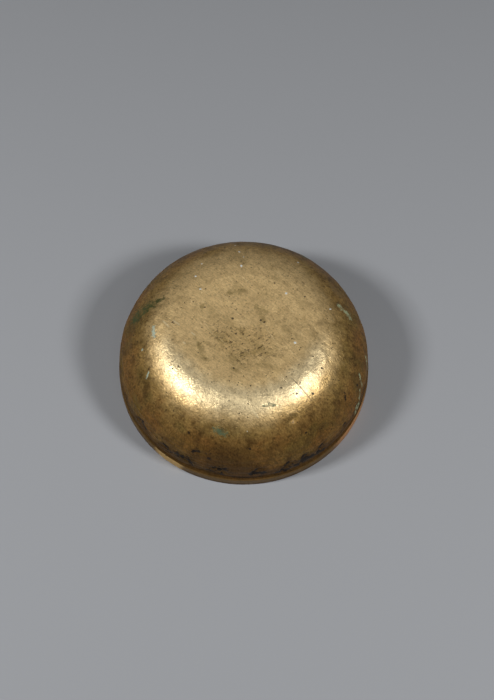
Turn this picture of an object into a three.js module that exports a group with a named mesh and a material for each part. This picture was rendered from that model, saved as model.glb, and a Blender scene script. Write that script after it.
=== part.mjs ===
// Hand-hammered bronze singing bowl, lying mouth down on its rim.
// It is one beaten sheet of bell bronze: a flat base, a round shoulder, a steep wall and a thickened lip.
// Millimetres, +Z up. The origin is the centre of the rim, on the surface that the bowl rests on.

import * as THREE from "three";

// Driving dimensions
const HEIGHT = 75; // from the rim's resting face to the outside of the base
const BASE_RADIUS = 50; // flat disc worn on the base
const BELLY_RADIUS = 97.9; // widest part of the wall
const BELLY_HEIGHT = 16; // where the wall is widest, above the rim
const WALL = 2.2; // thickness of the beaten sheet
const RIM_RADIUS = 99; // outside of the lip
const LIP_HEIGHT = 7.5; // height of the lip's outer band
const LIP_THICKNESS = 4.2; // thickness of the lip at its resting face
const LIP_EDGE = 0.6; // rounding of the lip's two corners
const GROOVE_RADIUS = 96.6; // bottom of the hammered recess above the lip
const GROOVE_HEIGHT = 10.5; // height of the recess's deepest line
const LIP_BLEND_HEIGHT = 14; // where the thick lip has thinned to the sheet, on the inside

// Fineness of the surface
const SHOULDER_STEPS = 14; // steps from the belly to the base, on the outside and on the inside
const SEGMENTS = 72; // steps around the bowl

const point = (radius, height) => new THREE.Vector2(radius, height);

// A quarter ellipse from the belly (share 0) over the shoulder to the edge of the flat base (share 1).
// Moving it in by a thickness gives the inside of the sheet.
function shoulderPoint(share, inset) {
  const angle = (share * Math.PI) / 2;
  const reach = BELLY_RADIUS - BASE_RADIUS;
  const rise = HEIGHT - BELLY_HEIGHT;
  const normal = point(rise * Math.cos(angle), reach * Math.sin(angle)).normalize();
  return point(
    BASE_RADIUS + reach * Math.cos(angle) - inset * normal.x,
    BELLY_HEIGHT + rise * Math.sin(angle) - inset * normal.y,
  );
}

function shoulder(inset) {
  const points = [];
  for (let step = 0; step <= SHOULDER_STEPS; step += 1) {
    points.push(shoulderPoint(step / SHOULDER_STEPS, inset));
  }
  return points;
}

// The outside, from the resting face of the lip up to the middle of the base
function outside() {
  return [
    point(RIM_RADIUS - LIP_EDGE, 0),
    point(RIM_RADIUS, LIP_EDGE),
    point(RIM_RADIUS, LIP_HEIGHT - LIP_EDGE),
    point(RIM_RADIUS - LIP_EDGE, LIP_HEIGHT),
    point(GROOVE_RADIUS, GROOVE_HEIGHT),
    ...shoulder(0),
    point(0, HEIGHT),
  ];
}

// The inside, from the middle of the base down to the resting face of the lip
function inside() {
  const innerRadius = RIM_RADIUS - LIP_THICKNESS;
  return [
    point(0, HEIGHT - WALL),
    ...shoulder(WALL).reverse(),
    point(GROOVE_RADIUS - WALL, LIP_BLEND_HEIGHT),
    point(innerRadius, LIP_HEIGHT),
    point(innerRadius, LIP_EDGE),
    point(innerRadius + LIP_EDGE, 0),
  ];
}

function makeBowl() {
  const lowerLip = point(RIM_RADIUS - LIP_EDGE, 0);
  const geometry = new THREE.LatheGeometry([...outside(), ...inside(), lowerLip], SEGMENTS);
  geometry.rotateX(Math.PI / 2);
  const bronze = new THREE.MeshStandardMaterial({ color: 0x9c7d4b, roughness: 0.4, metalness: 1 });
  const bowl = new THREE.Mesh(geometry, bronze);
  bowl.name = "bowl";
  return bowl;
}

const singingBowl = new THREE.Group();
singingBowl.add(makeBowl());

export default singingBowl;
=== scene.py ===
"""Hand-hammered bronze singing bowl, mouth down on its rim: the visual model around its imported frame.

The bowl is one closed mesh, swept around from one line. The line runs from the middle of the base, over the
shoulder and the wall, around the lip and back up the inside, and a run is a length along it. Hammer marks,
forging laps, dents and pits are pressed into the swept surface along its normals. Lengths in the profile
and relief sections are millimetres, and the mesh is in metres. Turns around the bowl start at the front,
towards -Y.
"""

import math

import bpy
import numpy as np
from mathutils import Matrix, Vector, kdtree


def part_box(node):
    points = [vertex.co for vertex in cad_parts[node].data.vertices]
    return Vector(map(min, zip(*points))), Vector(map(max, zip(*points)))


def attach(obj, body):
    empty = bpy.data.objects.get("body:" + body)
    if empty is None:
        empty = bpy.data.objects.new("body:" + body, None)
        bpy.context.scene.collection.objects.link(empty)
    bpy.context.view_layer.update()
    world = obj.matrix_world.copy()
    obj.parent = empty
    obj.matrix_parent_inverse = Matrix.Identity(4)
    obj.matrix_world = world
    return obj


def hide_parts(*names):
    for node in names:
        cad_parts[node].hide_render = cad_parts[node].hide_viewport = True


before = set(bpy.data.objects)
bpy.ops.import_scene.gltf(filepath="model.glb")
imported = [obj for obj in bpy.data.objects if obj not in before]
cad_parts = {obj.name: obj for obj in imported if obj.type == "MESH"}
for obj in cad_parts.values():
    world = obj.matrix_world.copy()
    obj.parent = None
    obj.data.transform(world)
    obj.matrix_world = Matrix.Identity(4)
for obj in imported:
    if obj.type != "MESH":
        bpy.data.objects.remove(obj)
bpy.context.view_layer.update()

MM = 0.001

# ---------------------------------------------------------------- sizes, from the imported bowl

bowl_low, bowl_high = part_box("bowl")
RIM_RADIUS = (bowl_high.x - bowl_low.x) / 2 / MM
HEIGHT = (bowl_high.z - bowl_low.z) / MM

BASE_RADIUS = 50.0
BELLY_RADIUS = RIM_RADIUS - 1.1
BELLY_HEIGHT = 16.0
WALL = 2.2
LIP_THICKNESS = 4.2
LIP_TOP = 9.0
LIP_BEVEL = 1.0
LIP_CORNER = 1.0
RECESS_HEIGHT = 11.6
RECESS_DEPTH = 1.3
RECESS_SPREAD = 2.0
DISH_RADIUS = 46.0
DISH_DEPTH = 1.3
INNER_BLEND = 14.0

# ---------------------------------------------------------------- profile


def smoothstep(low, high, value):
    share = np.clip((value - low) / (high - low), 0.0, 1.0)
    return share * share * (3.0 - 2.0 * share)


def bell(value, width):
    """1 where the value is 0, falling away on both sides within about the width."""
    return np.exp(-((value / width) ** 2))


def shoulder(inset, steps=900):
    """A quarter ellipse from the edge of the base to the belly, moved in by inset."""
    angle = np.linspace(math.pi / 2, 0.0, steps)
    reach = BELLY_RADIUS - BASE_RADIUS
    rise = HEIGHT - BELLY_HEIGHT
    across = rise * np.cos(angle)
    up = reach * np.sin(angle)
    length = np.hypot(across, up)
    radius = BASE_RADIUS + reach * np.cos(angle) - inset * across / length
    height = BELLY_HEIGHT + rise * np.sin(angle) - inset * up / length
    return np.stack([radius, height], 1)


def lower_wall(steps=300):
    """From the belly down through the hammered recess and over the lip to its lower corner."""
    height = np.linspace(BELLY_HEIGHT, LIP_CORNER, steps)
    lip = (RIM_RADIUS - BELLY_RADIUS) * smoothstep(LIP_TOP + LIP_BEVEL, LIP_TOP - LIP_BEVEL, height)
    recess = RECESS_DEPTH * bell(height - RECESS_HEIGHT, RECESS_SPREAD)
    return np.stack([BELLY_RADIUS + lip - recess, height], 1)


def corner(radius, height, start, steps=40):
    """A quarter circle of the lip's lower edge around (radius, height), clockwise from the start."""
    angle = start - np.linspace(0.0, math.pi / 2, steps)
    return np.stack([radius + LIP_CORNER * np.cos(angle), height + LIP_CORNER * np.sin(angle)], 1)


def inner_wall(steps=300):
    """Up the inside of the lip, which thins to the sheet."""
    height = np.linspace(LIP_CORNER, BELLY_HEIGHT, steps)
    thickness = WALL + (LIP_THICKNESS - WALL) * smoothstep(INNER_BLEND, 0.5 * LIP_TOP, height)
    outside = RIM_RADIUS - (RIM_RADIUS - BELLY_RADIUS) * smoothstep(0.5 * LIP_TOP, INNER_BLEND, height)
    return np.stack([outside - thickness, height], 1)


def dense_profile():
    """The whole line from the outside of the base to the inside of the base, and the run at each point."""
    across_base = np.linspace(0.0, BASE_RADIUS, 500)
    flat = np.stack([across_base, np.full_like(across_base, HEIGHT)], 1)
    inner_flat = np.stack([across_base[::-1], np.full_like(across_base, HEIGHT - WALL)], 1)
    inner_lip = RIM_RADIUS - LIP_THICKNESS
    line = np.concatenate([
        flat[:-1],
        shoulder(0.0)[:-1],
        lower_wall()[:-1],
        corner(RIM_RADIUS - LIP_CORNER, LIP_CORNER, 0.0)[:-1],
        corner(inner_lip + LIP_CORNER, LIP_CORNER, -math.pi / 2)[:-1],
        inner_wall()[:-1],
        shoulder(WALL)[::-1][:-1],
        inner_flat,
    ])
    run = np.concatenate([[0.0], np.cumsum(np.hypot(*np.diff(line, axis=0).T))])
    return line, run


PROFILE, RUN = dense_profile()
TOTAL_RUN = RUN[-1]
LOWEST = PROFILE[:, 1] < 1e-6
OUTER_END = RUN[LOWEST].min()
INNER_START = RUN[LOWEST].max()
NORMAL_REACH = 0.4


def on_profile(run):
    return np.interp(run, RUN, PROFILE[:, 0]), np.interp(run, RUN, PROFILE[:, 1])


def profile_normal(run):
    """Outward unit normal of the line, as (radial, vertical)."""
    r0, z0 = on_profile(run - NORMAL_REACH)
    r1, z1 = on_profile(run + NORMAL_REACH)
    dr, dz = r1 - r0, z1 - z0
    length = np.hypot(dr, dz)
    return -dz / length, dr / length


# ---------------------------------------------------------------- rings of the sweep

FULL_TURN = 576  # points around at the wall
FIRST_RING = 0.35
OUTER_STEP = 1.15
LAP_STEP = 0.7
LIP_STEP = 0.5
INNER_STEP = 2.6
STEP_GROWTH = 0.12  # how much a step on the inside grows with each millimetre from the lip
LAPS_START = 112.0
LIP_RINGS_START = OUTER_END - 17.0
LIP_RINGS_END = INNER_START + 1.5
COARSE_START = INNER_START + 3.0
HALVING_RADII = (40.0, 20.0, 10.0, 5.0)


def ring_runs():
    """Where the rings lie along the line: fine at the laps and the lip, and coarser on the inside."""
    runs = [FIRST_RING]
    while runs[-1] < TOTAL_RUN - 1.0:
        here = runs[-1]
        if here < LAPS_START:
            step = OUTER_STEP
        elif here < LIP_RINGS_START:
            step = LAP_STEP
        elif here < LIP_RINGS_END:
            step = LIP_STEP
        else:
            step = min(INNER_STEP, LIP_STEP + STEP_GROWTH * (here - INNER_START))
        runs.append(here + step)
    return np.array(runs[:-1])


def ring_size(run):
    """Points around a ring: fewer near the middle of the base and on the inside, each time by a half."""
    radius, _ = on_profile(run)
    size = FULL_TURN // 2 if run > COARSE_START else FULL_TURN
    for limit in HALVING_RADII:
        if radius < limit:
            size //= 2
    return size


def angles(size):
    return np.arange(size) * 2.0 * math.pi / size


def stitch(faces, first, first_size, second, second_size):
    """Joins two neighbouring rings, given by their first points, with triangles where the count halves."""
    if first_size == second_size:
        for k in range(first_size):
            n = (k + 1) % first_size
            faces.append((first + k, second + k, second + n, first + n))
        return
    fine, coarse, turned = (first, second, False) if first_size > second_size else (second, first, True)
    size = min(first_size, second_size)
    for k in range(size):
        a, b, c = fine + 2 * k, fine + 2 * k + 1, fine + (2 * k + 2) % (2 * size)
        p, q = coarse + k, coarse + (k + 1) % size
        for face in ((a, p, b), (b, p, q), (b, q, c)):
            faces.append(face[::-1] if turned else face)


def sweep():
    """The run and the angle of each point, and the faces. One point at each end lies on the axis."""
    runs = ring_runs()
    sizes = [ring_size(run) for run in runs]
    run_of, angle_of = [np.array([0.0])], [np.array([0.0])]
    starts, count = [], 1
    for run, size in zip(runs, sizes):
        starts.append(count)
        run_of.append(np.full(size, run))
        angle_of.append(angles(size))
        count += size
    run_of.append(np.array([TOTAL_RUN]))
    angle_of.append(np.array([0.0]))
    faces = []
    for k in range(sizes[0]):
        faces.append((0, starts[0] + k, starts[0] + (k + 1) % sizes[0]))
    for i in range(len(runs) - 1):
        stitch(faces, starts[i], sizes[i], starts[i + 1], sizes[i + 1])
    for k in range(sizes[-1]):
        faces.append((count, starts[-1] + (k + 1) % sizes[-1], starts[-1] + k))
    return np.concatenate(run_of), np.concatenate(angle_of), faces


# ---------------------------------------------------------------- relief

rng = np.random.default_rng(7)


def place(run, angle, lift=0.0):
    """A point on the bowl in millimetres. Angle 0 is towards -Y, and a positive angle turns to +X."""
    radius, height = on_profile(run)
    normal_r, normal_z = profile_normal(run)
    radius = radius + lift * normal_r
    return np.stack([radius * np.sin(angle), -radius * np.cos(angle), height + lift * normal_z], -1)


ROW_PITCH = 0.86  # from one row of hammer marks to the next, in spacings
SCATTER = 0.24  # how far a mark strays, in spacings
STRIKES = 0.09  # how unlike the strikes are, in millimetres
MARKS_FELT = 5  # how many marks shape a point


def hammer_rows(first, last, spacing):
    """Centres of hammer marks in rows around the bowl, each a little out of line."""
    runs, turns = [], []
    run = first
    while run < last:
        radius, _ = on_profile(run)
        count = max(5, round(2.0 * math.pi * radius / spacing))
        offset = rng.uniform(0.0, 2.0 * math.pi)
        runs.append(np.clip(run + rng.normal(0.0, SCATTER * spacing, count), 0.0, TOTAL_RUN))
        turns.append(offset + (np.arange(count) + rng.normal(0.0, SCATTER, count)) * 2.0 * math.pi / count)
        run += ROW_PITCH * spacing
    return np.concatenate(runs), np.concatenate(turns)


def hammered(points, centres, face_radius, soften):
    """Relief of overlapping hammer marks, around 0: shallow round faces with soft ridges between."""
    tree = kdtree.KDTree(len(centres))
    for index, centre in enumerate(centres):
        tree.insert(centre, index)
    tree.balance()
    strike = rng.uniform(0.0, STRIKES, len(centres))
    relief = np.zeros(len(points))
    for index, point in enumerate(points):
        total = 0.0
        for _, mark, distance in tree.find_n(point, MARKS_FELT):
            total += math.exp((strike[mark] - distance * distance / (2.0 * face_radius)) / soften)
        relief[index] = -soften * math.log(total)
    return relief - relief.mean()


def draw_waves(count, longest, shortest):
    """Direction, length and phase of some plane waves."""
    drawn = []
    for _ in range(count):
        direction = rng.normal(size=3)
        direction /= np.linalg.norm(direction)
        length = math.exp(rng.uniform(math.log(shortest), math.log(longest)))
        drawn.append((direction, length, rng.uniform(0.0, 2.0 * math.pi)))
    return drawn


LONGEST_WAVE = 110.0
SHORTEST_WAVE = 26.0
SHEET_WAVES = draw_waves(14, LONGEST_WAVE, SHORTEST_WAVE)


def unevenness(points, height):
    """Soft unevenness of the beaten sheet: the sum of the waves, the longest of them highest."""
    total = np.zeros(len(points))
    for direction, length, phase in SHEET_WAVES:
        total += np.sin(points @ direction * 2.0 * math.pi / length + phase) * length / LONGEST_WAVE
    return height * total / math.sqrt(len(SHEET_WAVES))


def turn_apart(angle, centre):
    """Signed angle from centre, between minus and plus half a turn."""
    return (angle - centre + math.pi) % (2.0 * math.pi) - math.pi


def turn_band(angle, centre, half_width):
    """1 towards one direction around the bowl, in degrees, falling away on both sides."""
    return bell(turn_apart(angle, math.radians(centre)), math.radians(half_width))


def facing_front(angle):
    """1 on the front half of the bowl and 0 on the back."""
    return smoothstep(math.radians(115.0), math.radians(50.0), np.abs(turn_apart(angle, 0.0)))


def local(run, angle, at_degrees, at_run, tilt_degrees):
    """Millimetres along and across a mark that lies on the surface, turned by its tilt."""
    radius, _ = on_profile(at_run)
    around = turn_apart(angle, math.radians(at_degrees)) * radius
    down = run - at_run
    tilt = math.radians(tilt_degrees)
    along = around * math.cos(tilt) + down * math.sin(tilt)
    across = -around * math.sin(tilt) + down * math.cos(tilt)
    return along, across


def run_at_height(height):
    """The run on the outside of the wall at a height above the rim."""
    on_wall = (RUN > BASE_RADIUS) & (RUN < OUTER_END)
    return float(np.interp(-height, -PROFILE[on_wall, 1], RUN[on_wall]))


# Forging laps above the lip: degrees around, millimetres above the rim, length, tilt and depth
FRONT_LAPS = [
    (-70, 24, 10, -50, 0.8),
    (-55, 27, 12, -42, 1.1),
    (-37, 22, 11, 40, 1.2),
    (-26, 22, 15, 34, 1.6),
    (-14, 17, 17, 16, 1.2),
    (-11, 24, 12, 14, 1.6),
    (5, 24, 13, -48, 1.5),
    (18, 20, 18, -60, 1.6),
    (27, 22, 18, -62, 1.6),
    (36, 24, 14, -64, 1.3),
    (52, 26, 9, -70, 0.9),
]
BACK_LAPS_START = 62.0
BACK_LAPS_END = 298.0
LAP_EDGE = 1.0  # width of the cut on its sharp side
LAP_SLOPE = 3.8  # width of the cut on its gentle side
LAP_DIRT_AND_SHADE = 2.6  # width of the dirt and painted shade on the gentle side
LAP_LIP_HEIGHT = 0.28  # of the raised edge over the cut, in depths
LAP_LIP_OFFSET = 2.3
LAP_LIP_WIDTH = 1.3
DEEPEST_LAP = 1.6


def all_laps():
    """The front's laps, and others of the same kind around the rest of the bowl."""
    laps = list(FRONT_LAPS)
    turn = BACK_LAPS_START
    while turn < BACK_LAPS_END:
        tilt = rng.choice([-1, 1]) * rng.uniform(35.0, 75.0)
        height = rng.uniform(15.0, 30.0)
        length = rng.uniform(6.0, 16.0)
        laps.append((turn, height, length, tilt, rng.uniform(0.4, 1.3)))
        turn += rng.uniform(7.0, 17.0)
    return laps


def lap_field(run, angle, laps):
    """How far each point lies in a forging lap, how stained and shaded it is around one, and the relief.

    A lap is a hollow under a sharp bent edge, where the hammer folded the sheet over. It runs out gently on
    the other side. Its black is dirt with painted shade under the sharp edge.
    """
    mask = np.zeros(len(run))
    stain_and_shade = np.zeros(len(run))
    relief = np.zeros(len(run))
    for degrees, height, length, tilt, depth in laps:
        at_run = run_at_height(height)
        along, across = local(run, angle, degrees, at_run, tilt)
        if tilt < 0:
            along, across = -along, across
        bent = 0.05 * along * along
        uneven = 0.6 * np.sin(0.9 * along + degrees)
        across = across - bent + uneven
        taper = smoothstep(0.65 * length, 0.2 * length, np.abs(along))
        sharp = bell(across, LAP_EDGE)
        cut = np.where(across < 0.0, sharp, bell(across, LAP_SLOPE))
        dirt_and_shade = np.where(across < 0.0, sharp, bell(across, LAP_DIRT_AND_SHADE))
        raised = LAP_LIP_HEIGHT * bell(across + LAP_LIP_OFFSET, LAP_LIP_WIDTH)
        mask = np.maximum(mask, taper * dirt_and_shade * min(1.0, depth))
        relief += depth * taper * (raised - cut)
        around, down = local(run, angle, degrees, at_run + 4.0, 0.0)
        stain_and_shade = np.maximum(stain_and_shade, bell(around, 6.0) * bell(down, 7.0) * min(1.0, depth / 1.5))
    return mask, stain_and_shade, relief


WRINKLES = 14
WRINKLE_DEPTH = 0.05
WRINKLE_DEPTH_LEFT = 0.10  # more at the front left


def wrinkles(run, angle):
    """Fine creases that run around the wall, where the smith drew the sheet in."""
    total = np.zeros(len(run))
    for _ in range(WRINKLES):
        turns = int(rng.integers(-9, 10))
        length = rng.uniform(3.2, 8.0)
        phase = rng.uniform(0.0, 2.0 * math.pi)
        total += np.sin(turns * angle + 2.0 * math.pi * run / length + phase) * length / 15.0
    on_wall = smoothstep(98.0, 114.0, run) * smoothstep(139.0, 133.0, run)
    return total * on_wall * (WRINKLE_DEPTH + WRINKLE_DEPTH_LEFT * turn_band(angle, -45.0, 34.0))


def recess_fill(run, angle):
    """Fills the recess over the lip unevenly, as the hammer closed it more in some places."""
    here = bell(run - run_at_height(RECESS_HEIGHT), 1.2 * RECESS_SPREAD)
    long_swing = 0.2 * np.sin(5 * angle + 1.0)
    short_swing = 0.15 * np.sin(11 * angle + 2.2) + 0.15 * np.sin(23 * angle + 0.4)
    return 0.8 * RECESS_DEPTH * (0.5 + long_swing + short_swing) * here


RIPPLE_TURN = 81.0
RIPPLE_RUN = 59.0
RIPPLE_TILT = 14.0
RIPPLE_LENGTH = 4.4
RIPPLE_HEIGHT = 0.08


def ripples(run, angle):
    """Short chatter marks on the right shoulder, which catch the light one by one."""
    along, across = local(run, angle, RIPPLE_TURN, RIPPLE_RUN, RIPPLE_TILT)
    near = bell(along, 13.0) * bell(across, 9.0)
    return RIPPLE_HEIGHT * near * np.sin(2.0 * math.pi * along / RIPPLE_LENGTH + np.sin(across / 4.0))


# Dents: degrees around, run from the middle of the base, radius and depth
DENTS = [
    (28, 84.5, 4.6, 1.0),
    (-44, 97, 8.0, 0.5),
    (62, 60, 9.0, 0.4),
    (120, 92, 10.0, 0.6),
    (-160, 70, 9.0, 0.5),
]


def dents(run, angle):
    """Round hollows, each with a low raised edge."""
    relief = np.zeros(len(run))
    for degrees, at_run, radius, depth in DENTS:
        along, across = local(run, angle, degrees, at_run, 0.0)
        away = np.hypot(along, across) / radius
        hollow = smoothstep(1.0, 0.0, away)
        raised = 0.22 * bell(away - 1.08, 0.16)
        relief += depth * (raised - hollow)
    return relief


PITS = 80
SMALLEST_PIT = 0.5
LARGEST_PIT = 1.2
PIT_DEPTH = 0.15  # in radii


def pits(points, count, low, high):
    """Small round pits scattered over the points. Gives their relief and how far each point lies in one."""
    tree = kdtree.KDTree(len(points))
    for index, point in enumerate(points):
        tree.insert(point, index)
    tree.balance()
    relief = np.zeros(len(points))
    mask = np.zeros(len(points))
    for _ in range(count):
        centre = Vector(points[rng.integers(len(points))])
        radius = rng.uniform(low, high)
        strength = rng.uniform(0.2, 1.0)
        for _, index, distance in tree.find_range(centre, radius):
            inside = strength * (1.0 - (distance / radius) ** 2)
            relief[index] = min(relief[index], -PIT_DEPTH * radius * inside)
            mask[index] = max(mask[index], inside)
    return relief, mask


EDGE_DROP = 1.0
FRONT_DROP = 1.1  # more at the front
SHEET_UNEVENNESS = 0.34


def sheet_shape(run, angle):
    """How far the whole sheet stands off its round profile, outwards, at a run on the outside.

    The base is a shallow dish with a worn edge, outside which the shoulder falls away at once.
    """
    dish = -DISH_DEPTH * np.clip(1.0 - (run / DISH_RADIUS) ** 2, 0.0, None)
    edge = EDGE_DROP * smoothstep(DISH_RADIUS - 3.0, DISH_RADIUS + 7.0, run)
    fall = FRONT_DROP * facing_front(angle) * smoothstep(DISH_RADIUS + 2.0, DISH_RADIUS + 26.0, run)
    back_out = smoothstep(120.0, 72.0, run)
    uneven = unevenness(place(run, angle), SHEET_UNEVENNESS)
    return uneven + dish - (edge + fall) * back_out + dents(run, angle)


MARK_SPACING = 10.5
MARK_FACE = 95.0  # radius of a mark's round face
MARK_SOFTNESS = 0.06
MARK_SHARE = 0.7
LIP_SHARE = 0.2  # of the relief that stays on the lip


def outer_relief(run, angle):
    """Relief of the outside in millimetres, and the masks that the bronze needs."""
    points = place(run, angle)
    marks = hammer_rows(4.0, OUTER_END - 8.0, MARK_SPACING)
    facets = hammered(points, place(*marks), MARK_FACE, MARK_SOFTNESS)
    lap_mask, lap_stain_and_shade, lap_relief = lap_field(run, angle, all_laps())
    pit_relief, pit_mask = pits(points, PITS, SMALLEST_PIT, LARGEST_PIT)
    on_lip = smoothstep(OUTER_END - 11.5, OUTER_END - 8.0, run)
    off_lip = 1.0 - on_lip
    fade = smoothstep(OUTER_END, OUTER_END - 5.0, run)
    worked = MARK_SHARE * facets + wrinkles(run, angle) + ripples(run, angle) + recess_fill(run, angle)
    rise = (worked + sheet_shape(run, angle)) * (off_lip + LIP_SHARE * on_lip)
    rise += (np.maximum(lap_relief, -DEEPEST_LAP) + pit_relief) * off_lip
    return rise * fade, {"lap": lap_mask * off_lip, "lap_stain_and_shade": lap_stain_and_shade * off_lip, "pit": pit_mask}


def run_outside(inner_run):
    """The run on the outside that lies straight through the sheet from a run on the inside."""
    radius, height = on_profile(inner_run)
    normal_r, normal_z = profile_normal(inner_run)
    outside = RUN <= OUTER_END
    through = radius - height - WALL * (normal_r - normal_z)
    return np.interp(through, (PROFILE[:, 0] - PROFILE[:, 1])[outside], RUN[outside])


INNER_MARK_SPACING = 13.0
INNER_MARK_FACE = 120.0
INNER_MARK_SOFTNESS = 0.03


def inner_relief(run, angle):
    """Relief of the inside: the sheet's own shape and hammer marks, larger and softer than outside."""
    points = place(run, angle)
    marks = hammer_rows(INNER_START + 14.0, TOTAL_RUN - 4.0, INNER_MARK_SPACING)
    facets = hammered(points, place(*marks), INNER_MARK_FACE, INNER_MARK_SOFTNESS)
    off_lip = smoothstep(INNER_START + 6.0, INNER_START + 14.0, run)
    return (facets - sheet_shape(run_outside(run), angle)) * off_lip


# ---------------------------------------------------------------- bowl


def add_float_attribute(mesh, name, values):
    attribute = mesh.attributes.new(name, "FLOAT", "POINT")
    attribute.data.foreach_set("value", np.asarray(values, np.float32))


# Marks on the surface are strokes: degrees around and run at both ends, and half width
VERDIGRIS = [
    (107.8, 80.4, 101.8, 90.6, 2.0),
    (85.5, 112.8, 83, 126.3, 1.4),
    (74.2, 106.3, 73.2, 110.4, 1.1),
    (72.5, 113, 72, 119.3, 1.0),
    (69, 116, 64.5, 134, 1.0),
    (64, 128, 62.5, 136, 1.6),
]
TURQUOISE_SPOTS = [
    (-91.8, 70.1, -85.5, 69.6, 1.8),
    (-80.5, 81.6, -80, 83, 0.8),
    (-66, 83, -64, 88, 0.7),
]
TEAL_SPOTS = [
    (-14.5, 86.9, -10, 88, 3.0),
    (16.5, 66, 19.5, 68, 1.4),
    (13.5, 67, 15.5, 67, 1.0),
]
# Olive smudges on the base, which are strokes too
SMUDGES = [
    (-67, 37, -57, 37, 2.2),
    (-54, 39, -42, 39, 2.2),
    (-14, 37, -8, 37, 2.2),
    (-4, 24, 20, 22, 1.8),
    (19, 24, 41, 21, 1.6),
    (-122, 36, -116, 36, 1.6),
    (-179, 31, -161, 31, 3.2),
    (106, 15, 130, 16, 3.0),
    (127, 21, 149, 19, 3.0),
]
DARK_GREEN = [
    (-101.5, 93, -108, 77, 4.6),
    (-110, 74, -113, 68, 1.6),
    (146, 98, 154, 110, 3.5),
    (-145, 108, -136, 114, 3.5),
]
# White specks: degrees around, run and radius
WHITE_SPECKS = [
    (-175, 82, 1.3),
    (-177, 69, 1.5),
    (180, 62, 1.1),
    (-178, 53, 1.8),
    (-140, 58, 1.6),
    (-134, 46, 1.6),
    (-150, 66, 1.1),
    (131, 43, 1.7),
    (145, 76, 1.5),
    (105, 70, 1.5),
    (70, 41, 1.8),
    (2, 85, 1.1),
]
# Black specks: degrees around, run and radius
BLACK_SPECKS = [
    (36.5, 68, 1.7),
    (45, 76, 1.8),
    (43, 62.7, 1.2),
    (31.5, 100.4, 1.8),
    (6, 50, 1.1),
    (3, 63.5, 1.0),
    (61, 68.6, 1.5),
    (65, 58, 1.2),
    (53, 124.8, 2.4),
    (69, 108.6, 2.0),
    (3, 100.6, 1.8),
    (29, 58, 1.1),
    (36, 55, 1.0),
    (-94, 54, 1.5),
    (119, 53.7, 1.3),
    (-12, 35.7, 1.4),
    (-45, 8, 1.4),
    (-119, 34, 1.3),
    (113, 14, 1.7),
    (104, 16, 1.4),
    (-130, 11, 1.7),
    (-28, 97, 2.0),
    (-21, 110.6, 2.4),
    (-16, 115, 2.6),
]
# Strokes of black grime above the lip, with painted shade where they follow the laps and the recess. They
# make claws, each a thin spike over a wider foot.
GRIME_AND_SHADE = [
    (20.2, 124, 17.5, 131, 1.4),
    (15.5, 135, 20, 137, 2.5),
    (28.4, 122.5, 26.5, 128, 1.5),
    (24, 132.5, 28, 133, 3.2),
    (28, 131, 33, 130.5, 2.1),
    (37.4, 124, 35.2, 130, 1.5),
    (35.2, 132, 41, 137, 2.3),
    (4, 128.5, 6.8, 123.5, 1.1),
    (3.5, 131, 9, 130, 1.8),
    (-5, 139, 8, 138.5, 0.8),
    (-13, 126.6, -8.8, 126.3, 2.4),
    (-16.5, 133, -10, 135, 1.4),
    (-30.8, 126.5, -26, 127, 2.8),
    (-26, 129, -23.5, 134, 1.3),
    (-23.8, 112.5, -21.8, 110.5, 0.8),
    (-38.5, 124.5, -35.5, 129.6, 1.8),
    (-57, 124.5, -52.8, 121, 0.8),
    (-53.5, 124, -50.5, 127.5, 0.8),
    (-72, 138, -67, 136, 1.0),
    (-49, 138, -43, 139, 0.9),
    (60, 98.5, 58, 103.5, 0.6),
]


def stroke_field(run, angle, strokes):
    """1 along the line of each stroke and 0.5 at about its half width, which swings along the line."""
    uneven = 1.0 + 0.25 * np.sin(1.7 * run + 75.0 * angle) + 0.2 * np.sin(0.9 * run - 140.0 * angle)
    field = np.zeros(len(run))
    for degrees, at_run, end_degrees, end_run, half_width in strokes:
        radius, _ = on_profile(at_run)
        along, across = local(run, angle, degrees, at_run, 0.0)
        end_along = math.radians(end_degrees - degrees) * radius
        end_across = end_run - at_run
        share = (along * end_along + across * end_across) / (end_along**2 + end_across**2)
        share = np.clip(share, 0.0, 1.0)
        away = np.hypot(along - share * end_along, across - share * end_across) / half_width
        away *= uneven
        field = np.maximum(field, 1.0 / (1.0 + away**2))
    return field


def hills(run, angle, places):
    """1 at each of the places, given by degrees around, run and radius, and 0 at the radius and beyond."""
    field = np.zeros(len(run))
    for degrees, at_run, radius in places:
        along, across = local(run, angle, degrees, at_run, 0.0)
        field = np.maximum(field, smoothstep(radius, 0.0, np.hypot(along, across)))
    return field


RUBBED_FULL = 56.0  # run up to which the metal is rubbed bright
RUBBED_NONE = 104.0
RUBBED_FRONT = 6.0  # further at the front
# a paler band along the front of the shoulder: rubbed metal with a painted highlight on it
HIGHLIGHT_CREST_RUN = 61.0
HIGHLIGHT_CREST_WIDTH = 14.0
MIDDLE = (1, 12, 42.0)  # the dirtier middle of the base, as a hill
LIP_EDGE = 12.4  # run from the recess to the bottom of the lip
COPPER_TURN = 60
GOLD_HIGHLIGHT_TURN = -36


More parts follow.
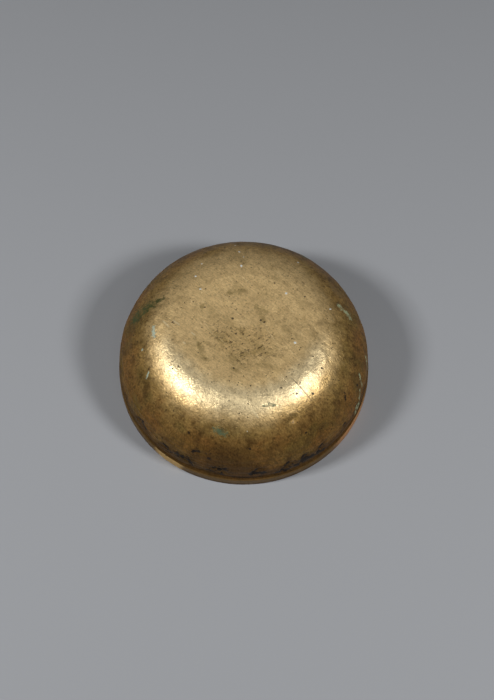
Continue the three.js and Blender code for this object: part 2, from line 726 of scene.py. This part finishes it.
def bronze_masks(run, angle):
    """Where the bronze has each kind of wear, dirt and corrosion, and where painted highlight and painted
    shade lie, from 0 to 1, all over the bowl.
    """
    outside = run <= OUTER_END
    outer_lip = smoothstep(OUTER_END - LIP_EDGE, OUTER_END - LIP_EDGE + 1.2, run)
    lip = outer_lip * smoothstep(INNER_START + 3.0, INNER_START, run)
    off_lip = outside * (1.0 - lip)
    front = facing_front(angle)
    further = RUBBED_FRONT * front
    # painted shade in the recess above the lip, over stains there, and a darker lower front of the wall
    low_front = 0.9 * smoothstep(76.0, 112.0, run) * turn_band(angle, -6, 19)
    stain_and_shade = np.maximum(smoothstep(118.0, 136.0, run), low_front)
    return {
        "lip": lip,
        "foot": smoothstep(OUTER_END - 7.5, OUTER_END - 4.0, run),
        "inner": smoothstep(INNER_START - 1.0, INNER_START + 3.0, run),
        "flat": smoothstep(DISH_RADIUS + 18.0, DISH_RADIUS - 4.0, run),
        "rubbed": smoothstep(RUBBED_NONE + further, RUBBED_FULL + further, run) * outside,
        # painted highlight along the front of the shoulder, over rubbed metal
        "crest_wear_and_highlight": front * bell(run - HIGHLIGHT_CREST_RUN, HIGHLIGHT_CREST_WIDTH) * outside,
        "copper": lip * turn_band(angle, COPPER_TURN, 17),
        # rubbed gold with a painted highlight on the lip at the front left
        "gold_wear_and_highlight": lip * turn_band(angle, GOLD_HIGHLIGHT_TURN, 9),
        "middle": hills(run, angle, [MIDDLE]) * outside,
        "smudge": stroke_field(run, angle, SMUDGES) * outside,
        "stain_and_shade": stain_and_shade * off_lip,
        # black grime, with painted shade along the laps and the recess above the lip
        "grime_and_shade": stroke_field(run, angle, GRIME_AND_SHADE) * off_lip,
        "speck": hills(run, angle, BLACK_SPECKS) * outside,
        "chalk": hills(run, angle, WHITE_SPECKS) * outside,
        "verdigris": stroke_field(run, angle, VERDIGRIS) * outside,
        "dark_green": stroke_field(run, angle, DARK_GREEN) * outside,
        "turquoise": stroke_field(run, angle, TURQUOISE_SPOTS) * outside,
        "teal": stroke_field(run, angle, TEAL_SPOTS) * outside,
    }


def make_bowl():
    run, angle, faces = sweep()
    outside = run <= OUTER_END
    inside = run >= INNER_START
    lift = np.zeros(len(run))
    lift[outside], relief_masks = outer_relief(run[outside], angle[outside])
    lift[inside] = inner_relief(run[inside], angle[inside])
    points = place(run, angle, lift)
    points[:, 2] = np.maximum(points[:, 2], 0.0)
    mesh = bpy.data.meshes.new("bowl_bronze")
    mesh.from_pydata((points * MM).tolist(), [], faces)
    mesh.validate()
    mesh.shade_smooth()
    masks = bronze_masks(run, angle)
    for name, values in relief_masks.items():
        masks[name] = np.zeros(len(run))
        masks[name][outside] = values
    for name, values in masks.items():
        add_float_attribute(mesh, name, values)
    bowl = bpy.data.objects.new("bowl_bronze", mesh)
    bpy.context.scene.collection.objects.link(bowl)
    return bowl


# ---------------------------------------------------------------- materials


class Nodes:
    """A short way to write a node tree: each call adds one node and gives its output."""

    def __init__(self, material):
        material.use_nodes = True
        self.tree = material.node_tree
        self.tree.nodes.clear()

    def add(self, kind, **settings):
        node = self.tree.nodes.new(kind)
        for name, value in settings.items():
            setattr(node, name, value)
        return node

    def put(self, socket, value):
        if isinstance(value, bpy.types.NodeSocket):
            self.tree.links.new(value, socket)
        else:
            socket.default_value = value

    def attribute(self, name):
        return self.add("ShaderNodeAttribute", attribute_name=name).outputs["Fac"]

    def math(self, operation, a, b=0.0, c=0.0):
        node = self.add("ShaderNodeMath", operation=operation)
        for socket, value in zip(node.inputs, (a, b, c)):
            self.put(socket, value)
        return node.outputs[0]

    def plus(self, *values):
        total = values[0]
        for value in values[1:]:
            total = self.math("ADD", total, value)
        return total

    def times(self, *values):
        product = values[0]
        for value in values[1:]:
            product = self.math("MULTIPLY", product, value)
        return product

    def most(self, *values):
        largest = values[0]
        for value in values[1:]:
            largest = self.math("MAXIMUM", largest, value)
        return largest

    def swing(self, value, amount):
        """A 0 to 1 noise turned into one that swings around 0."""
        return self.math("MULTIPLY_ADD", value, amount, -0.5 * amount)

    def ramp(self, value, low, high, out_low=0.0, out_high=1.0):
        """A smooth step from out_low, where the value is low, to out_high, where it is high."""
        node = self.add("ShaderNodeMapRange", interpolation_type="SMOOTHSTEP")
        for socket, item in zip(node.inputs, (value, low, high, out_low, out_high)):
            self.put(socket, item)
        return node.outputs[0]

    def noise(self, place, scale, detail=4.0, roughness=0.55, distortion=0.0):
        node = self.add("ShaderNodeTexNoise")
        self.put(node.inputs["Vector"], place)
        self.put(node.inputs["Scale"], scale)
        self.put(node.inputs["Detail"], detail)
        self.put(node.inputs["Roughness"], roughness)
        self.put(node.inputs["Distortion"], distortion)
        return node.outputs["Fac"]

    def cells(self, place, scale):
        node = self.add("ShaderNodeTexVoronoi", feature="F1")
        self.put(node.inputs["Vector"], place)
        self.put(node.inputs["Scale"], scale)
        return node.outputs["Distance"]

    def stretched(self, place, degrees, size):
        """Coordinates turned about Z and divided by a size in metres along each turned axis."""
        node = self.add("ShaderNodeMapping", vector_type="TEXTURE")
        self.put(node.inputs["Vector"], place)
        self.put(node.inputs["Rotation"], (0.0, 0.0, math.radians(degrees)))
        self.put(node.inputs["Scale"], size)
        return node.outputs[0]

    def streaks(self, place, degrees, size, low, high):
        return self.ramp(self.noise(self.stretched(place, degrees, size), 1.0, 2.0), low, high)

    def vector(self, operation, a, b=None):
        node = self.add("ShaderNodeVectorMath", operation=operation)
        self.put(node.inputs[0], a)
        if operation == "SCALE":
            self.put(node.inputs[3], b)
        elif b is not None:
            self.put(node.inputs[1], b)
        return node.outputs[1 if operation in ("LENGTH", "DOT_PRODUCT") else 0]

    def line(self, place, start, end, width):
        """1 on the straight line between two points and 0 at its width from it, with ends that run out."""
        span = end - start
        from_start = self.vector("SUBTRACT", place, tuple(start))
        along = self.vector("DOT_PRODUCT", from_start, tuple(span / span.length_squared))
        share = self.math("MINIMUM", self.math("MAXIMUM", along, 0.0), 1.0)
        nearest = self.vector("SCALE", tuple(span), share)
        away = self.vector("LENGTH", self.vector("SUBTRACT", from_start, nearest))
        taper = self.ramp(self.math("ABSOLUTE", self.math("SUBTRACT", along, 0.5)), 0.55, 0.30)
        return self.times(self.ramp(away, width, 0.3 * width), taper)

    def mix(self, share, a, b):
        node = self.add("ShaderNodeMix", data_type="RGBA")
        self.put(node.inputs[0], share)
        self.put(node.inputs[6], a)
        self.put(node.inputs[7], b)
        return node.outputs[2]

    def bump(self, height, distance, strength=1.0, normal=None):
        node = self.add("ShaderNodeBump")
        self.put(node.inputs["Height"], height)
        self.put(node.inputs["Distance"], distance)
        self.put(node.inputs["Strength"], strength)
        if normal is not None:
            self.put(node.inputs["Normal"], normal)
        return node.outputs[0]


def color(red, green, blue):
    return (red, green, blue, 1.0)


# PALE_GOLD is also the painted highlight along the front of the shoulder
PALE_GOLD = color(0.94, 0.75, 0.43)
RUBBED_GOLD = color(0.93, 0.66, 0.31)
TAN = color(0.48, 0.30, 0.095)
BROWN = color(0.235, 0.115, 0.025)
UMBER = color(0.085, 0.042, 0.012)
OLIVE = color(0.24, 0.175, 0.055)
BLACK_DIRT_AND_SHADE = color(0.012, 0.010, 0.010)
COPPER = color(0.60, 0.29, 0.12)
# LIP_GOLD is rubbed gold with a painted highlight on the lip at the front left
LIP_GOLD = color(0.62, 0.40, 0.15)
LIP_TAN = color(0.17, 0.105, 0.040)
LIP_BROWN = color(0.085, 0.043, 0.017)
RUST = color(0.32, 0.14, 0.035)
MOSS = color(0.19, 0.14, 0.035)
PALE_GREEN = color(0.42, 0.47, 0.28)
TURQUOISE = color(0.50, 0.62, 0.50)
TEAL = color(0.12, 0.17, 0.095)
DEEP_GREEN = color(0.070, 0.105, 0.035)
CHALK = color(0.78, 0.78, 0.70)


POLISH_TURN = -38.0  # degrees about Z, for the old polishing strokes on the base
FLECK_TURN = 38.0  # and for the short black flecks in its middle
BRIGHT_WIDTH = 0.0008
DARK_WIDTH = 0.0007


def bronze_patina(n, where, fleck):
    """The metal's colour under its dirt, from brown on the wall to pale gold on the rubbed shoulder, with a
    painted highlight along the front of the shoulder and painted shade in the recess above the lip.
    """
    cloud = n.noise(where, 24.0, 5.0, 0.6)
    worn = n.plus(n.attribute("rubbed"), n.swing(cloud, 0.7), n.swing(fleck, 0.35))
    base = n.mix(n.ramp(worn, -0.1, 0.65), BROWN, TAN)
    base = n.mix(n.ramp(worn, 0.45, 1.05), base, RUBBED_GOLD)
    # the paler crest on the front of the shoulder is rubbed metal with a painted highlight
    crest_wear_and_highlight = n.plus(n.attribute("crest_wear_and_highlight"), n.swing(cloud, 0.5), n.swing(fleck, 0.6))
    base = n.mix(n.ramp(crest_wear_and_highlight, 0.25, 1.0), base, PALE_GOLD)

    # the wall drifts between rust brown and moss brown
    low = n.math("SUBTRACT", 1.0, n.attribute("rubbed"))
    hue = n.noise(where, 34.0, 4.0, 0.6)
    drift = n.ramp(low, 0.1, 0.8, 0.0, 0.5)
    base = n.mix(n.times(n.ramp(hue, 0.50, 0.64), drift), base, RUST)
    base = n.mix(n.times(n.ramp(hue, 0.50, 0.36), drift), base, MOSS)

    # brown mottles, drawn out downwards, and olive ones along the polishing strokes of the base
    drips = n.noise(n.stretched(where, 0.0, (0.009, 0.009, 0.020)), 1.0, 6.0, 0.68)
    blots = n.noise(n.stretched(where, 0.0, (0.0035, 0.0035, 0.0060)), 1.0, 4.0, 0.65)
    base = n.mix(n.times(n.ramp(drips, 0.42, 0.72), n.ramp(low, 0.0, 0.7, 0.15, 0.8)), base, UMBER)
    base = n.mix(n.times(n.ramp(blots, 0.50, 0.72), n.ramp(low, 0.0, 0.7, 0.25, 0.75)), base, UMBER)
    smears = n.noise(n.stretched(where, POLISH_TURN, (0.020, 0.010, 0.012)), 1.0, 6.0, 0.66)
    here = n.ramp(n.attribute("middle"), 0.0, 0.8, 0.25, 0.9)
    base = n.mix(n.times(n.ramp(smears, 0.44, 0.74), here), base, OLIVE)
    crumbs = n.noise(where, 300.0, 3.0, 0.7)
    smudge = n.plus(n.attribute("smudge"), n.swing(fleck, 0.7), n.swing(crumbs, 1.6))
    base = n.mix(n.times(n.ramp(smudge, 0.35, 1.15), 0.6), base, OLIVE)
    base = n.mix(n.times(n.ramp(n.attribute("middle"), 0.1, 1.0), 0.35), base, TAN)
    # stains, with painted shade in the recess above the lip and around the laps and claws
    darkening = n.plus(n.attribute("stain_and_shade"), n.attribute("lap_stain_and_shade"), n.attribute("grime_and_shade"))
    stain_and_shade = n.plus(darkening, n.swing(fleck, 0.8), n.swing(drips, 0.5))
    base = n.mix(n.times(n.ramp(stain_and_shade, 0.2, 1.0), 0.8), base, UMBER)

    # freckles, fine polishing strokes and speckle
    brushed = n.noise(n.stretched(where, POLISH_TURN, (0.0050, 0.0011, 0.0030)), 1.0, 3.0, 0.6)
    spots = n.noise(n.stretched(where, 0.0, (0.0014, 0.0014, 0.0026)), 1.0, 3.0, 0.7)
    spread = n.times(n.swing(spots, 1.0), n.ramp(low, 0.0, 1.0, 0.9, 2.0))
    freckles = n.ramp(n.noise(where, 430.0, 2.0, 0.5), 0.60, 0.72)
    base = n.mix(n.times(freckles, 0.4), base, UMBER)
    return n.vector("SCALE", base, n.plus(1.0, n.swing(brushed, 0.8), spread))


# Single scratches: degrees around and run, at both ends
DARK_SCRATCHES = [
    (39.8, 54.4, 42, 80),
]
BRIGHT_SCRATCHES = [
    (-96, 54.3, -91, 48),
    (-83, 40.3, -78, 37),
    (-74, 47.6, -71, 46),
    (-96, 62.4, -89.5, 56),
    (5, 66, 9, 74.5),
]


def scratch_lines(n, where, scratches, width):
    """Share of the surface in a list of scratches, which run straight as seen from above."""
    from_above = (1.0, 1.0, 0.0)
    level = n.vector("MULTIPLY", where, from_above)
    lines = []
    for first_turn, first_run, last_turn, last_run in scratches:
        first = Vector(place(first_run, math.radians(first_turn)) * MM * from_above)
        last = Vector(place(last_run, math.radians(last_turn)) * MM * from_above)
        lines.append(n.line(level, first, last, width))
    return n.times(n.most(*lines), n.ramp(n.attribute("rubbed"), 0.0, 0.1))


def bronze_dirt_and_shade(n, where, fleck):
    """Share of black dirt and painted shade everywhere, the shade in the laps and along the recess above
    the lip, and that of the specks and short flecks alone.
    """
    speck = n.ramp(n.cells(where, 260.0), 0.17, 0.07)
    specks = n.times(speck, n.ramp(n.noise(where, 55.0, 3.0), 0.47, 0.60))
    dashes = n.noise(n.stretched(where, FLECK_TURN, (0.0034, 0.0016, 0.003)), 1.0, 4.0, 0.75)
    middle = n.plus(n.attribute("middle"), n.swing(n.noise(where, 60.0, 2.0), 1.0))
    flecks = n.times(n.ramp(dashes, 0.56, 0.64), n.ramp(middle, 0.20, 0.85), 0.9)
    torn = n.plus(n.swing(fleck, 0.9), n.swing(n.noise(where, 420.0, 3.0, 0.7), 1.5))
    lap = n.times(n.ramp(n.plus(n.attribute("lap"), torn), 0.50, 0.85), 0.75)
    grime_and_shade = n.times(n.ramp(n.plus(n.attribute("grime_and_shade"), torn), 0.30, 0.60), 0.95)
    pit = n.most(n.ramp(n.attribute("pit"), 0.1, 0.7), n.ramp(n.attribute("speck"), 0.25, 0.5))
    return n.most(lap, grime_and_shade, n.times(n.most(pit, specks, flecks), 0.9)), n.most(specks, flecks)


def bronze_crust(n, where, base):
    """Green corrosion and white specks. Gives the colour and how far they cover the metal."""
    ragged = n.swing(n.noise(where, 420.0, 5.0, 0.75), 1.8)
    mottle = n.ramp(n.noise(where, 260.0, 4.0, 0.75), 0.38, 0.56, 0.35, 1.0)
    green = n.times(n.ramp(n.plus(n.attribute("verdigris"), ragged), 0.42, 0.75), mottle)
    deep = n.times(n.ramp(n.plus(n.attribute("dark_green"), ragged), 0.28, 0.70), mottle)
    base = n.mix(n.times(deep, 0.9), base, DEEP_GREEN)
    base = n.mix(n.times(green, 0.9), base, PALE_GREEN)
    teal = n.times(n.ramp(n.plus(n.attribute("teal"), ragged), 0.44, 0.75), mottle)
    base = n.mix(n.times(teal, 0.85), base, TEAL)
    turquoise = n.ramp(n.plus(n.attribute("turquoise"), ragged), 0.50, 0.85)
    base = n.mix(n.times(turquoise, 0.8), base, TURQUOISE)
    chalk = n.ramp(n.plus(n.attribute("chalk"), n.swing(n.noise(where, 900.0, 2.0), 0.5)), 0.30, 0.50)
    return n.mix(chalk, base, CHALK), n.most(green, n.times(teal, 0.6), turquoise, chalk)


def fine_scratches(n, where):
    """Share of the surface in the fine scratches of polishing, which run in three directions."""
    return n.most(
        n.streaks(where, -42.0, (0.016, 0.0005, 0.006), 0.66, 0.74),
        n.streaks(where, -60.0, (0.024, 0.0006, 0.006), 0.68, 0.75),
        n.times(n.streaks(where, 20.0, (0.014, 0.0005, 0.006), 0.68, 0.76), 0.8),
    )


def bronze_lip(n, base, fleck, grain):
    """The colour with the brown lip on it, rubbed to gold at the front left, with a painted highlight
    there, and to copper on the right.
    """
    wear = n.swing(fleck, 0.8)
    foot = n.plus(n.attribute("foot"), n.swing(fleck, 0.9), n.swing(grain, 0.6))
    band = n.mix(foot, LIP_TAN, LIP_BROWN)
    base = n.mix(n.times(n.attribute("lip"), n.ramp(fleck, 0.3, 0.7, 0.8, 0.95)), base, band)
    # rubbed gold with a painted highlight on the lip at the front left
    base = n.mix(n.ramp(n.plus(n.attribute("gold_wear_and_highlight"), wear), 0.35, 0.7), base, LIP_GOLD)
    copper = n.plus(n.attribute("copper"), wear, n.swing(grain, 0.8))
    return n.mix(n.times(n.ramp(copper, 0.3, 0.8), 0.9), base, COPPER)


def bronze_normal(n, fleck, grain, scratches, hollows, crust):
    """The finest relief: flecks and grain, cut by scratches and specks, under a raised crust."""
    normal = n.bump(fleck, 0.0013, 0.35)
    normal = n.bump(grain, 0.0005, 0.4, normal)
    normal = n.bump(n.times(scratches, -1.0), 0.00008, 0.6, normal)
    normal = n.bump(n.times(hollows, -1.0), 0.0005, 0.8, normal)
    return n.bump(crust, 0.0004, 0.6, normal)


def bronze_material():
    material = bpy.data.materials.new("hammered_bronze")
    n = Nodes(material)
    where = n.add("ShaderNodeTexCoord").outputs["Object"]
    fleck = n.noise(where, 120.0, 4.0, 0.65)
    grain = n.noise(where, 700.0, 3.0, 0.65)
    rubbed = n.attribute("rubbed")

    scratches = fine_scratches(n, where)
    fine = n.times(scratches, n.ramp(rubbed, 0.2, 1.0), 0.45)
    bright = n.times(scratch_lines(n, where, BRIGHT_SCRATCHES, BRIGHT_WIDTH), 0.9)
    base = n.mix(n.most(fine, bright), bronze_patina(n, where, fleck), PALE_GOLD)
    base = bronze_lip(n, base, fleck, grain)
    base = n.mix(n.times(n.attribute("inner"), 0.45), base, UMBER)
    dirt_and_shade, hollows = bronze_dirt_and_shade(n, where, fleck)
    dirt_and_shade = n.most(dirt_and_shade, n.times(scratch_lines(n, where, DARK_SCRATCHES, DARK_WIDTH), 0.6))
    # black dirt, with painted shade in the laps and along the recess above the lip
    base = n.mix(n.times(dirt_and_shade, 0.97), base, BLACK_DIRT_AND_SHADE)
    base, crust = bronze_crust(n, where, base)

    bare = n.plus(n.ramp(rubbed, 0.0, 1.0, 0.34, 0.54), n.times(n.attribute("flat"), -0.16))
    bare = n.times(bare, n.ramp(n.attribute("lip"), 0.0, 1.0, 1.0, 0.55))
    covered = n.most(crust, n.times(dirt_and_shade, 0.7))
    rough = n.plus(n.ramp(rubbed, 0.0, 1.0, 0.52, 0.38), n.swing(fleck, 0.45), n.swing(grain, 0.40))

    shader = n.add("ShaderNodeBsdfPrincipled")
    n.put(shader.inputs["Base Color"], base)
    n.put(shader.inputs["Metallic"], n.times(bare, n.math("SUBTRACT", 1.0, covered)))
    n.put(shader.inputs["Roughness"], n.most(rough, n.times(crust, 0.85), n.times(dirt_and_shade, 0.6)))
    n.put(shader.inputs["Specular IOR Level"], 0.25)
    n.put(shader.inputs["Specular Tint"], color(0.80, 0.62, 0.42))
    n.put(shader.inputs["Anisotropic"], 0.5)
    n.put(shader.inputs["Coat Weight"], n.times(rubbed, 0.3))
    n.put(shader.inputs["Coat Roughness"], 0.3)
    n.put(shader.inputs["Normal"], bronze_normal(n, fleck, grain, scratches, hollows, crust))
    output = n.add("ShaderNodeOutputMaterial")
    n.put(output.inputs["Surface"], shader.outputs[0])
    return material


def paper_material():
    material = bpy.data.materials.new("grey_paper")
    n = Nodes(material)
    shader = n.add("ShaderNodeBsdfPrincipled")
    n.put(shader.inputs["Base Color"], color(0.445, 0.458, 0.482))
    n.put(shader.inputs["Roughness"], 0.9)
    n.put(shader.inputs["Specular IOR Level"], 0.1)
    output = n.add("ShaderNodeOutputMaterial")
    n.put(output.inputs["Surface"], shader.outputs[0])
    return material


# ---------------------------------------------------------------- stage, lights and camera

CAMERA_ELEVATION = math.radians(63.5)
CAMERA_DISTANCE = 1.2
FRAME_HEIGHT = 0.56  # metres that the picture's height covers at the bowl
SENSOR = 36.0
AIM_RIGHT = 0.0025
AIM_UP = 0.0153
FLOOR_REACH = 4.0
SIDE_LIGHT_ELEVATION = 47
SIDE_LIGHT_DISTANCE = 1.6
SIDE_LIGHT_SIZE = 0.30
WORLD_STRENGTH = 0.004


def make_floor():
    mesh = bpy.data.meshes.new("floor")
    corners = [(x * FLOOR_REACH, y * FLOOR_REACH, 0) for x, y in ((-1, -1), (1, -1), (1, 1), (-1, 1))]
    mesh.from_pydata(corners, [], [(0, 1, 2, 3)])
    mesh.materials.append(paper_material())
    floor = bpy.data.objects.new("floor", mesh)
    bpy.context.scene.collection.objects.link(floor)
    return floor


def make_camera():
    view = Vector((0.0, math.cos(CAMERA_ELEVATION), -math.sin(CAMERA_ELEVATION)))
    up = Vector((0.0, math.sin(CAMERA_ELEVATION), math.cos(CAMERA_ELEVATION)))
    aim = Vector((AIM_RIGHT, 0.0, 0.0)) + up * AIM_UP
    data = bpy.data.cameras.new("camera")
    data.sensor_fit = "VERTICAL"
    data.sensor_height = SENSOR
    data.lens = SENSOR * CAMERA_DISTANCE / FRAME_HEIGHT
    camera = bpy.data.objects.new("camera", data)
    camera.location = aim - view * CAMERA_DISTANCE
    camera.rotation_euler = view.to_track_quat("-Z", "Y").to_euler()
    bpy.context.scene.collection.objects.link(camera)
    bpy.context.scene.camera = camera


def softbox(name, azimuth, elevation, distance, width, height, power):
    """A rectangular light that faces the bowl. Azimuth 0 is the front and 90 the right."""
    turn, tilt = math.radians(azimuth), math.radians(elevation)
    away = Vector((math.cos(tilt) * math.sin(turn), -math.cos(tilt) * math.cos(turn), math.sin(tilt)))
    data = bpy.data.lights.new(name, "AREA")
    data.shape = "RECTANGLE"
    data.size = width
    data.size_y = height
    data.energy = power
    light = bpy.data.objects.new(name, data)
    light.location = away * distance
    light.rotation_euler = (-away).to_track_quat("-Z", "Y").to_euler()
    bpy.context.scene.collection.objects.link(light)


def side_light(name, azimuth, power):
    size = SIDE_LIGHT_SIZE
    softbox(name, azimuth, SIDE_LIGHT_ELEVATION, SIDE_LIGHT_DISTANCE, size, size, power)


def make_lights():
    side_light("left_softbox", -74, 11.3)
    side_light("right_softbox", 63, 10.6)
    softbox("front_softbox", 24, 60, 1.8, 0.26, 0.26, 0.6)
    softbox("top_softbox", 180, 66, 1.5, 0.9, 0.7, 0.3)
    world = bpy.data.worlds.new("studio")
    bpy.context.scene.world = world
    world.use_nodes = True
    world.node_tree.nodes["Background"].inputs["Color"].default_value = color(1.0, 1.0, 1.0)
    world.node_tree.nodes["Background"].inputs["Strength"].default_value = WORLD_STRENGTH


# ---------------------------------------------------------------- make everything

make_camera()
make_lights()
bpy.context.scene.view_settings.view_transform = "Standard"

floor = make_floor()

bowl = make_bowl()
bowl.data.materials.append(bronze_material())
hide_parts("bowl")
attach(bowl, "root")
